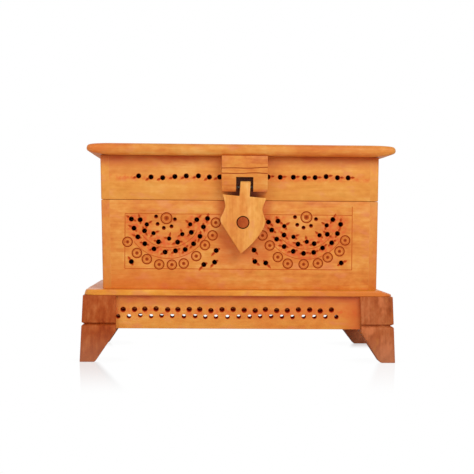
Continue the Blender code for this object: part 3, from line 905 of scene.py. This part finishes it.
def make_front_panel(cuts):
    low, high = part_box("front_panel")
    material = wood("front_panel", "X", 11, contrast=1.2, redness=0.45, tinting=fan_stain_and_painted_light)
    panel = cross_wall("carved_front_panel", "front_panel", material)
    jitter = random.Random(5)
    scores, levels, uprights, dents = (bmesh.new() for _ in range(4))
    second_nicks, main_nicks, drills, eye_drills = (bmesh.new() for _ in range(4))
    grooves = [bmesh.new() for _ in ring_grooves]
    for side in outward_signs:
        places = fan_places(side)
        for arc in ("outer", "middle", "inner", "corner"):
            radius = inner_hole_radius if arc == "inner" else hole_radius
            main_reach = corner_nick_reach if arc == "corner" else main_nick_reach
            headings = zip(nick_headings[side][arc], second_headings[side][arc])
            for (x, z), (main, second) in zip(places[arc], headings):
                add_drill(drills, x, z, radius, low.y, high.y)
                turn = math.radians(main + jitter.uniform(-6, 6))
                add_nick(main_nicks, x, z, radius, turn, main_reach * jitter.uniform(0.85, 1.1), low.y)
                turn = math.radians(second + jitter.uniform(-8, 8))
                reach = second_nick_reach * jitter.uniform(0.8, 1.2)
                add_nick(second_nicks, x, z, radius, turn, reach, low.y)
        for x, z in places["eye"]:
            add_drill(eye_drills, x, z, eye_hole_radius, low.y, high.y, eye_drill_rise)
        for arc, sizes, dent in (
            ("rings", ring_grooves, ring_dent_radius),
            ("eye_ring", eye_grooves, eye_dent_radius),
        ):
            wide = dent * (1 + groove_overrun / dent_depth)
            cone = ((wide, -groove_overrun), (dent * dent_floor_share, dent_depth))
            for x, z in places[arc]:
                for bm, (radius, width, depth) in zip(grooves, sizes):
                    circle = circle_points(x, z, radius, ring_sides)
                    add_groove(bm, circle, width, depth, low.y, closed=True)
                add_turned(dents, Vector((x, low.y, z)), cone, ring_sides)
        first, last = scribed_degrees
        degrees = [first + turn for turn in sweep(last - first, scribed_steps)]
        for radius in scribed_radii:
            arc = arc_places(fan_centre(side), fan_size_shares[side] * radius, degrees)
            add_groove(scores, arc, score_width, score_depth, low.y)
    peg_centre = sum(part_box("latch_peg"), Vector()) / 2
    add_drill(drills, peg_centre.x, peg_centre.z, peg_radius + parting_line, low.y, high.y)
    for bm, *line in (
        (levels, (frame_left_x, frame_top), (frame_gap[0], frame_top)),
        (levels, (frame_gap[1], frame_top), (frame_right_x, frame_top)),
        (levels, (frame_left_x, frame_low), (frame_right_x, frame_low)),
        (uprights, (frame_left_x, frame_low), (frame_left_x, frame_top)),
        (uprights, (frame_right_x, frame_low), (frame_right_x, frame_top + frame_overshoot)),
    ):
        add_groove(bm, line, score_width, score_depth, low.y)
    for kind, shapes in (
        ("scored", (scores, levels, uprights)),
        ("punched", (dents, *grooves)),
        ("carved", (second_nicks, main_nicks)),
        ("bored", (drills, eye_drills)),
    ):
        for bm in shapes:
            cut(panel, bm, cuts[kind])
    smooth(panel)
    place_piece(panel, "case", "honey_wood", "front_panel")


def make_front_rail(cuts):
    low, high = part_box("lid_front_rail")
    row = rail_top - rail_row_drop
    block_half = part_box("latch_block")[1].x - latch_x

    def tinting(nodes, place, tone):
        x, _, z = nodes.parts(place)
        tone = row_stain(nodes, place, tone, row - rail_stain_drop, rail_stain_reach)
        # Painted shade under the lid, above the row of holes and stronger toward the left
        above = nodes.between(z, row, row + rail_shade_rise)
        left_top_shade = nodes.times(above, nodes.between(x, 0, case_left, 0, 0.3))
        tone = nodes.tint(tone, left_top_shade, 200, 104, 48)
        # Painted shade under the lid's overhang
        tone = rail_overhang_shade(nodes, place, tone)
        # Painted shade, near black, on the rail's face where it shows through the block's notch
        notch_shade = nodes.between(nodes.apart(x, latch_x), block_half, notch_width / 2, 0, 0.85)
        return nodes.tint(tone, notch_shade, 112, 34, 12)

    material = wood("front_rail", "X", 23, pale, tinting=tinting)
    rail = cross_wall("drilled_front_rail", "lid_front_rail", material)
    jitter = random.Random(8)
    outer = (case_right - case_left) / 2 - rail_row_margin
    drills = bmesh.new()
    nicks = bmesh.new()
    for side, sign in outward_signs.items():
        rises = rail_hole_rises[side]
        step = (outer - rail_row_inner) / (len(rises) - 1)
        for count, (shift, rise) in enumerate(zip(rail_hole_shifts[side], rises)):
            x = latch_x + rail_row_shift + sign * (rail_row_inner + count * step) + shift
            z = row + rise
            add_drill(drills, x, z, hole_radius, low.y, high.y)
            turn = math.radians(rail_nick_headings[side] + jitter.uniform(-5, 8))
            reach = main_nick_reach * rail_nick_share
            add_nick(nicks, x, z, hole_radius, turn, reach, low.y, rail_nick_peak)
    cut(rail, nicks, cuts["carved"])
    cut(rail, drills, cuts["bored"])
    smooth(rail)
    place_piece(rail, "lid", "honey_wood", "lid_front_rail")


def make_front_apron(cuts):
    low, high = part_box("front_apron")
    upper = high.z - apron_row_drop

    def tinting(nodes, place, tone):
        tone = row_stain(nodes, place, tone, upper - apron_stain_drop, apron_stain_reach)
        # Painted shade, darker and redder, at the apron's right end beside the foot
        start, end = (high.x - margin for margin in apron_end_shade)
        tone = nodes.tint(tone, nodes.between(nodes.parts(place)[0], start, end, 0, 0.75), 208, 92, 28)
        # Painted shade under the base board's overhang, along the apron's top edge
        return overhang_shade(nodes, place, tone, high.z, apron_overhang_shade_reach)

    material = wood("front_apron", "X", 31, pale, redness=0.5, tinting=tinting)
    apron = apron_board("drilled_front_apron", "front_apron", material)
    jitter = random.Random(3)
    drills = bmesh.new()
    start = low.x + apron_row_left_margin
    steps = int((high.x - apron_row_right_margin - start) / apron_hole_pitch)
    rows = (("upper", 0, steps + 1, upper), ("lower", -0.5, steps + 2, upper - apron_rows_apart))
    for row, shift, count, height in rows:
        for index in range(count):
            x = start + (index + shift + jitter.uniform(-0.05, 0.05)) * apron_hole_pitch
            z = height + jitter.uniform(-apron_hole_stray, apron_hole_stray)
            rise = apron_drill_rises[row] * jitter.uniform(0.8, 1.2)
            add_drill(drills, x, z, apron_hole_radii[row], low.y, high.y, rise)
    cut(apron, drills, cuts["drilled"])
    smooth(apron)
    place_piece(apron, "case", "honey_wood", "front_apron")


def make_plain_boards():
    """Boards with no carving, which are softened like the carved ones."""
    for node, seed in plain_boards.items():
        across = "back" in node
        make = apron_board if node.endswith("_apron") else cross_wall if across else side_wall
        calm = 0.6 if make is side_wall else 1.0
        body, tones, tinting = "case", honey, None
        if node.startswith("lid_"):
            # The lid's rails take painted shade under the lid's overhang
            body, tones, tinting = "lid", pale, rail_overhang_shade
        material = wood(node, "X" if across else "Y", seed, tones, calm, 0.2, tinting=tinting)
        place_piece(make("softened_" + node, node, material), body, "honey_wood", node)


def outline_points(low, high, radius, corner_steps):
    """Points round a board's outline with rounded corners, each with its outward direction."""
    right, left, back, front = high.x - radius, low.x + radius, high.y - radius, low.y + radius
    centres = [Vector((right, back, 0)), Vector((left, back, 0))]
    centres += [Vector((left, front, 0)), Vector((right, front, 0))]
    points = []
    for quarter, centre in enumerate(centres):
        for share in sweep(1, corner_steps):
            angle = math.radians(90) * (quarter + share)
            way = Vector((math.cos(angle), math.sin(angle), 0))
            points.append((centre + radius * way, way))
        start, end = points[-1][0], centres[(quarter + 1) % 4] + radius * way
        for share in sweep(1, board_side_steps)[1:-1]:
            points.append((start.lerp(end, share), way))
    return points


def ripple(x, y, seed, size):
    """A slow ripple from 0 to size along an edge, as a hand plane leaves it."""
    turn = random.Random(seed)
    total = 0
    for pitch in ripple_pitches:
        phase = turn.uniform(0, 2 * math.pi)
        total += math.sin(2 * math.pi * (x + 0.7 * y) / pitch + phase)
    return size * (0.5 + total / 6)


def nose_inset(rise, reach, run=0.0, power=1.0):
    """How far a nose draws back at a share of its half thickness: an ellipse, then a longer run."""
    return reach * (1 - math.sqrt(max(0, 1 - rise * rise))) + run * rise**power


def make_lid_board():
    """The lid board: a half-round nose at the front, and blunt ends that thin out far longer."""
    low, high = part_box("lid_board")
    middle_z = high.z - lid_nose_drop
    rings = []
    for step in range(-lid_nose_steps, lid_nose_steps + 1):
        rise = math.sin(math.radians(90) * abs(step) / lid_nose_steps)
        face_z, end = (low.z, lid_end_below) if step < 0 else (high.z, lid_end_above)
        height = middle_z + rise * (face_z - middle_z)
        front_inset = nose_inset(rise, lid_front_reach)
        inset = Vector((nose_inset(rise, *end), front_inset, 0))
        ring = []
        radius = lid_corner_radius - front_inset / 2
        for point, way in outline_points(low + inset, high - inset, radius, 8):
            place = point - way * ripple(point.x, point.y, 2, lid_ripple)
            ring.append((place.x, place.y, height))
        rings.append(ring)
    bm = bmesh.new()
    add_rings(bm, rings)
    board = finish_mesh("rounded_lid_board", bm, wood("lid_board", "X", 83, contrast=1.2, redness=0.6))
    smooth(board, 40)
    place_piece(board, "lid", "honey_wood", "lid_board")


def make_base_board():
    """The stand's top board, whose left end slants and whose right end is worn down thin."""
    low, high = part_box("base_board")
    profile = []
    for radius, face_z, sign in ((base_edge_radius / 2, low.z, 1), (base_edge_radius, high.z, -1)):
        for angle in sweep(math.radians(90), base_edge_steps):
            shares = [1 - math.sin(angle), 1 - math.cos(angle)]
            inset, drop = (radius * share for share in shares[::sign])
            profile.append((inset, face_z + sign * drop))
    for share in sweep(1, base_edge_steps)[1:]:
        profile.append((base_edge_radius + (base_worn_reach - base_edge_radius) * share, high.z))
    rings = []
    for inset, height in profile:
        ring = []
        for point, way in outline_points(low, high, base_corner_radius, 10):
            place = point - way * (inset + ripple(point.x, point.y, 7, base_ripple))
            rise = height - low.z
            away = 1 - inset / base_worn_reach
            if way.x > 0:
                rise *= 1 - base_worn_share * away * math.sqrt(way.x)
            else:
                place.x -= way.x * base_slant * away * rise / (high.z - low.z)
            ring.append((place.x, place.y, low.z + rise))
        rings.append(ring)
    bm = bmesh.new()
    add_rings(bm, rings)

    def tinting(nodes, place, tone):
        x, y, z = nodes.parts(place)
        # Painted sheen: a pale pinkish reflection on the board's top, beyond the case
        start, end = ((case_right - case_left) / 2 + margin for margin in base_sheen_span)
        outside = nodes.between(nodes.apart(x, case_middle), start, end)
        edge_z = high.z - base_top_rim
        top_sheen = nodes.times(outside, nodes.between(z, edge_z, high.z, 0, 0.6))
        tone = nodes.tint(tone, top_sheen, 240, 190, 168)
        at_front = nodes.times(nodes.between(z, high.z, edge_z), nodes.between(y, 0, low.y, 0, 0.85))
        return nodes.tint(tone, nodes.times(at_front, nodes.between(x, 0, high.x)), 216, 112, 36)

    material = wood("base_board", "X", 89, yellow, redness=0.55, tinting=tinting)
    board = finish_mesh("worn_base_board", bm, material)
    smooth(board, 40)
    place_piece(board, "case", "honey_wood", "base_board")


def make_foot(node, seed, tones, toe_wear, inner_lean, bulge, groove_shift):
    """A grooved post with softened edges, which narrows inward to its toe.

    Its inner faces can lean outward to the groove, or bulge where they start to narrow.
    """
    low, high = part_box(node)
    board_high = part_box("base_board")[1]
    side_x = 1 if low.x > 0 else -1
    side_y = 1 if low.y > 0 else -1
    toe_inset = foot_width - foot_toe_width + foot_splay - bulge * toe_bulge_share
    groove_height = high.z - groove_drop - groove_shift
    levels = [
        (base_underside, 0, 0),
        (groove_height + groove_width / 2, 0, inner_lean),
        (groove_height, groove_depth, inner_lean),
        (groove_height - groove_width / 2, 0, inner_lean),
        (foot_slant_height + bulge / 2, 0, inner_lean),
        (foot_slant_height, 0, inner_lean - bulge),
    ]
    for height_share, inset_share in toe_wear_shares:
        height = toe_wear * height_share
        slanted = toe_inset * (1 - height / foot_slant_height)
        levels.append((height, 0, slanted + toe_wear * inset_share))
    rings = []
    for height, inset, narrowed in levels:
        outward = foot_splay * (1 - height / high.z) - inset
        inward = narrowed - foot_width
        ring = []
        for move_x, move_y in ((outward, outward), (inward, outward), (inward, inward), (outward, inward)):
            ring.append((side_x * (board_high.x + move_x), side_y * (board_high.y + move_y), height))
        rings.append(ring)
    bm = bmesh.new()
    add_rings(bm, rings)

    def tinting(nodes, place, tone):
        greyed = nodes.between(nodes.parts(place)[2], groove_height, 0, 0, 0.45)
        return nodes.tint(tone, greyed, 176, 118, 88)

    foot = finish_mesh("worn_" + node, bm, wood(node, "Z", seed, tones, 1.1, 0.15, 0.3, tinting))
    round_edges(foot, foot_edge_radius)
    smooth(foot)
    place_piece(foot, "case", "dark_wood", node)


def make_latch_block(cuts):
    low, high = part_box("latch_block")
    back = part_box("lid_front_rail")[0].y - glue_line
    outline = (
        (back, lid_underside),
        (back, low.z),
        (low.y + block_chamfer_depth, low.z),
        (low.y, low.z + block_chamfer_height),
        (low.y, lid_underside),
    )
    bm = bmesh.new()
    add_prism(bm, [(low.x, y, z) for y, z in outline], (high.x - low.x, 0, 0))
    block = finish_mesh("carved_latch_block", bm, wood("latch_block", "X", 97, contrast=1.3))
    bm = bmesh.new()
    add_box(
        bm,
        (latch_x - notch_width / 2, low.y - cut_overrun, low.z - cut_overrun),
        (latch_x + notch_width / 2, back + cut_overrun, low.z + notch_height),
    )
    cut(block, bm, cuts["shaded"])
    round_edges(block, block_edge_radius, 2, 50)
    bm = bmesh.new()
    for seed, drop in enumerate(block_line_drops):
        line = []
        for run in sweep(high.x - low.x + 2 * cut_overrun, block_line_steps):
            x = low.x - cut_overrun + run
            stray = ripple(x, 0, seed, block_line_ripple) - block_line_ripple / 2
            line.append((x, high.z - drop + stray))
        add_groove(bm, line, block_line_width, block_line_depth, low.y)
    cut(block, bm, cuts["lined"])
    smooth(block)
    place_piece(block, "lid", "honey_wood", "latch_block")


def shield_outline():
    """Front view of the hasp round its pin, before it is tilted: tongue, shoulders, hips and point."""
    tongue_end = max(hasp_behind_pin, hasp_before_pin) + cut_overrun
    sides = []
    for side in (1, -1):
        shoulder_end = shoulder_drop + side * shoulder_slope_drop
        points = [(side * tongue_width / 2, z) for z in (tongue_end, -shoulder_drop)]
        for share in sweep(1, shield_curve_steps):
            straight = shoulder_half_width + share * (hip_half_width - shoulder_half_width)
            x = straight - shield_waist_depth * (1 - abs(2 * share - 1) ** shield_waist_power)
            points.append((side * x, -shoulder_end - share * (hip_drop - shoulder_end)))
        for share in sweep(1, shield_curve_steps)[1:-1]:
            x = hip_half_width * (1 - share**shield_curve_power)
            if side < 0:
                x = hip_half_width * min(1, (1 - share) / (1 - shield_straight_from_share))
            points.append((side * x, -hip_drop - share * (shield_drop - hip_drop)))
        sides.append(points)
    right, left = sides
    return right + [(0, -shield_drop)] + left[::-1]


def hasp_profile():
    """Side view of the hasp round its pin: flat faces, and a top rounded about the pin."""
    last = math.pi - math.acos(hasp_before_pin / hasp_behind_pin)
    bottom = -shield_drop - cut_overrun
    top = [
        (hasp_behind_pin * math.cos(angle), hasp_behind_pin * math.sin(angle))
        for angle in sweep(last, hasp_top_steps)
    ]
    return [(hasp_behind_pin, bottom)] + top + [(-hasp_before_pin, bottom)]


def make_hasp(cuts):
    pin = sum(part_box("hasp_pin"), Vector()) / 2 + Vector((hasp_shift, 0, 0))
    tilt = Matrix.Rotation(math.radians(hasp_tilt_degrees), 4, "Y")
    front = -hasp_before_pin - cut_overrun
    thickness = hasp_before_pin + hasp_behind_pin + 2 * cut_overrun
    bm = bmesh.new()
    outline = [pin + tilt @ Vector((x, front, z)) for x, z in shield_outline()]
    add_prism(bm, outline, (0, thickness, 0))
    material = wood("hasp", "Z", 101, light, contrast=1.3)
    hasp = finish_mesh("shield_hasp", bm, material)
    bm = bmesh.new()
    profile = [pin + Vector((-shield_drop, y, z)) for y, z in hasp_profile()]
    add_prism(bm, profile, (2 * shield_drop, 0, 0))
    cut(hasp, bm, material, "INTERSECT")
    round_edges(hasp, hasp_edge_radius, 3, 50)
    wide = peg_radius + peg_front_clearance
    hole = peg_radius + peg_clearance
    bore = ((wide, front), (wide, -hasp_before_pin), (hole, hasp_behind_pin), (hole, thickness))
    bm = bmesh.new()
    add_turned(bm, pin + tilt @ Vector((0, 0, -peg_drop)), bore, 40)
    cut(hasp, bm, cuts["hasp_hole"])
    smooth(hasp)
    place_piece(hasp, "hasp", "honey_wood", "hasp")


def make_peg():
    """A round stud with a faint dome and a rounded rim."""
    low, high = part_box("latch_peg")
    half = (high.y - low.y) / 2
    profile = [(peg_radius * 0.02, -half), (peg_radius * 0.55, peg_dome_height - half)]
    for angle in sweep(math.radians(90), 5):
        radius = peg_radius - peg_rim_radius * (1 - math.sin(angle))
        profile.append((radius, peg_rim_radius * 1.2 - half - peg_rim_radius * math.cos(angle)))
    profile.append((peg_radius, half))
    bm = bmesh.new()
    add_turned(bm, (low + high) / 2, profile, 48)
    peg = finish_mesh("round_peg", bm, wood("peg", "Y", 103, dark, redness=0.3, gloss=0.45))
    smooth(peg, 50)
    place_piece(peg, "case", "dark_wood", "latch_peg")


def make_screws(brass):
    """Screws with domed heads, each with a slot turned its own way."""
    turn = random.Random(17)
    profile = [
        (screw_tip_radius, -screw_length),
        (screw_shank_radius, screw_tip_length - screw_length),
        (screw_shank_radius, 0),
    ]
    for angle in sweep(math.radians(88), 6):
        profile.append((screw_head_radius * math.cos(angle), screw_head_height * math.sin(angle)))
    slot = Vector((screw_head_radius * 2, screw_slot_depth, screw_slot_width / 2))
    for node in sorted(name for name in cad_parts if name.endswith("_screw")):
        low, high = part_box(node)
        top = Vector(((low.x + high.x) / 2, high.y, (low.z + high.z) / 2))
        bm = bmesh.new()
        add_turned(bm, top - Vector((0, screw_head_height, 0)), profile, 24)
        screw = finish_mesh("slotted_" + node, bm, brass)
        bm = bmesh.new()
        add_box(bm, -slot, slot)
        angle = Matrix.Rotation(turn.uniform(0, math.pi), 4, "Y")
        bmesh.ops.transform(bm, matrix=Matrix.Translation(top) @ angle, verts=bm.verts[:])
        cut(screw, bm, brass)
        smooth(screw)
        body = "lid" if "_lid_" in node else "case"
        place_piece(screw, body, "brass", node)


def dress_metal(brass, steel):
    """Finish of the hinge leaves and pins, and of the pin that the hasp swings on."""
    for name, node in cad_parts.items():
        if name.endswith("_leaf") or name.endswith("_hinge_pin"):
            node.data.materials[0] = brass
        if name == "hasp_pin":
            node.data.materials[0] = steel


def make_floor():
    """A white floor that keeps a faint shadow, and a faint reflection in front of the feet."""
    nodes = Shading(bpy.data.materials.new("floor_white"))
    matt = nodes.shader.outputs[0]
    looks = {"Base Color": (0.9, 0.9, 0.9, 1), "Roughness": 0.9, "Specular IOR Level": 0}
    nodes.feed(nodes.shader, looks)
    looks = {"Color": (1, 1, 1, 1), "Roughness": 0.08}
    gloss = nodes.node("ShaderNodeBsdfGlossy", looks).outputs[0]
    white = nodes.node("ShaderNodeEmission").outputs[0]
    place = nodes.coordinates()
    x, y, _ = nodes.parts(place)
    shades = []
    shines = []
    for foot, (reach, strength) in foot_shines.items():
        low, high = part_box(foot)
        away = nodes.distance(place, ((low.x + high.x) / 2, (low.y + high.y) / 2, 0))
        shades.append(nodes.between(away, *foot_shade_span))
        outward = x if low.x > 0 else nodes.times(x, -1)
        side = max(abs(low.x), abs(high.x))
        inner_start, inner_end = (side - foot_toe_width + margin for margin in shine_inner_fade)
        outer_start, outer_end = (side + margin for margin in shine_outer_fade)
        ahead = nodes.math("SUBTRACT", high.y - foot_toe_width if low.y > 0 else low.y, y)
        spread = nodes.math("MULTIPLY_ADD", ahead, shine_spread, outward)
        bright = nodes.times(
            nodes.between(ahead, reach, 0, 0, strength),
            nodes.between(ahead, -shine_front_fade, 0),
            nodes.between(spread, inner_start, inner_end),
            nodes.between(outward, outer_start, outer_end),
        )
        shines.append(bright)
    shaded = nodes.blend(nodes.times(nodes.most(*shades), foot_shade), white, matt)
    mirrored = nodes.blend(nodes.most(*shines), shaded, gloss)
    seen = nodes.node("ShaderNodeLightPath").outputs["Is Camera Ray"]
    surface = nodes.blend(seen, matt, mirrored)
    nodes.feed(nodes.tree.nodes["Material Output"], {"Surface": surface})
    bm = bmesh.new()
    bmesh.ops.create_grid(bm, x_segments=1, y_segments=1, size=floor_half_size)
    bmesh.ops.translate(bm, verts=bm.verts[:], vec=(0, 0, -floor_drop))
    floor = finish_mesh("floor", bm, nodes.data)


def make_world():
    """A white surround: full white where it is seen, and dimmer as a light."""
    nodes = Shading(bpy.data.worlds.new("studio"))
    bpy.context.scene.world = nodes.data
    path = nodes.node("ShaderNodeLightPath").outputs
    seen = nodes.most(path["Is Camera Ray"], path["Is Glossy Ray"])
    inputs = {"Value": seen, "To Min": world_strength, "To Max": 1}
    strength = nodes.node("ShaderNodeMapRange", inputs).outputs[0]
    nodes.feed(nodes.tree.nodes["Background"], {"Color": (1, 1, 1, 1), "Strength": strength})


def make_lights():
    for name, (place, width, power) in lamps.items():
        data = bpy.data.lights.new(name, "AREA")
        data.shape = "DISK"
        data.size = width
        data.energy = power
        lamp = add_object(name, data)
        lamp.location = place
        lamp.rotation_euler = (lamp_aim - Vector(place)).to_track_quat("-Z", "Y").to_euler()


def make_camera():
    yaw, pitch, roll = (math.radians(angle) for angle in camera_turns)
    forward = Vector((math.sin(yaw) * math.cos(pitch), math.cos(yaw) * math.cos(pitch), -math.sin(pitch)))
    level = Vector((math.cos(yaw), -math.sin(yaw), 0))
    upright = level.cross(forward)
    right = math.cos(roll) * level + math.sin(roll) * upright
    up = math.cos(roll) * upright - math.sin(roll) * level
    data = bpy.data.cameras.new("camera")
    data.sensor_width = sensor_width
    data.lens = focal_pixels * sensor_width / picture_size
    camera = add_object("camera", data)
    turn = Matrix((right, up, -forward)).transposed()
    camera.matrix_world = Matrix.Translation(camera_place) @ turn.to_4x4()
    bpy.context.scene.camera = camera


def build():
    scene = bpy.context.scene
    scene.view_settings.view_transform = "Standard"
    for thing in [thing for thing in scene.objects if thing.type in ("LIGHT", "CAMERA")]:
        bpy.data.objects.remove(thing, do_unlink=True)
    make_camera()
    make_world()
    make_lights()
    make_floor()
    cuts = {name: cut_wood(name, *settings) for name, settings in cut_woods.items()}
    brass = metal("aged_brass", (196, 160, 94), (164, 128, 72), 0.32)
    steel = metal("dull_steel", (96, 88, 82), (64, 56, 50), 0.45)
    make_front_panel(cuts)
    make_front_rail(cuts)
    make_front_apron(cuts)
    make_plain_boards()
    make_lid_board()
    make_base_board()
    for node, settings in feet.items():
        make_foot(node, *settings)
    make_latch_block(cuts)
    make_hasp(cuts)
    make_peg()
    make_screws(brass)
    dress_metal(brass, steel)


build()
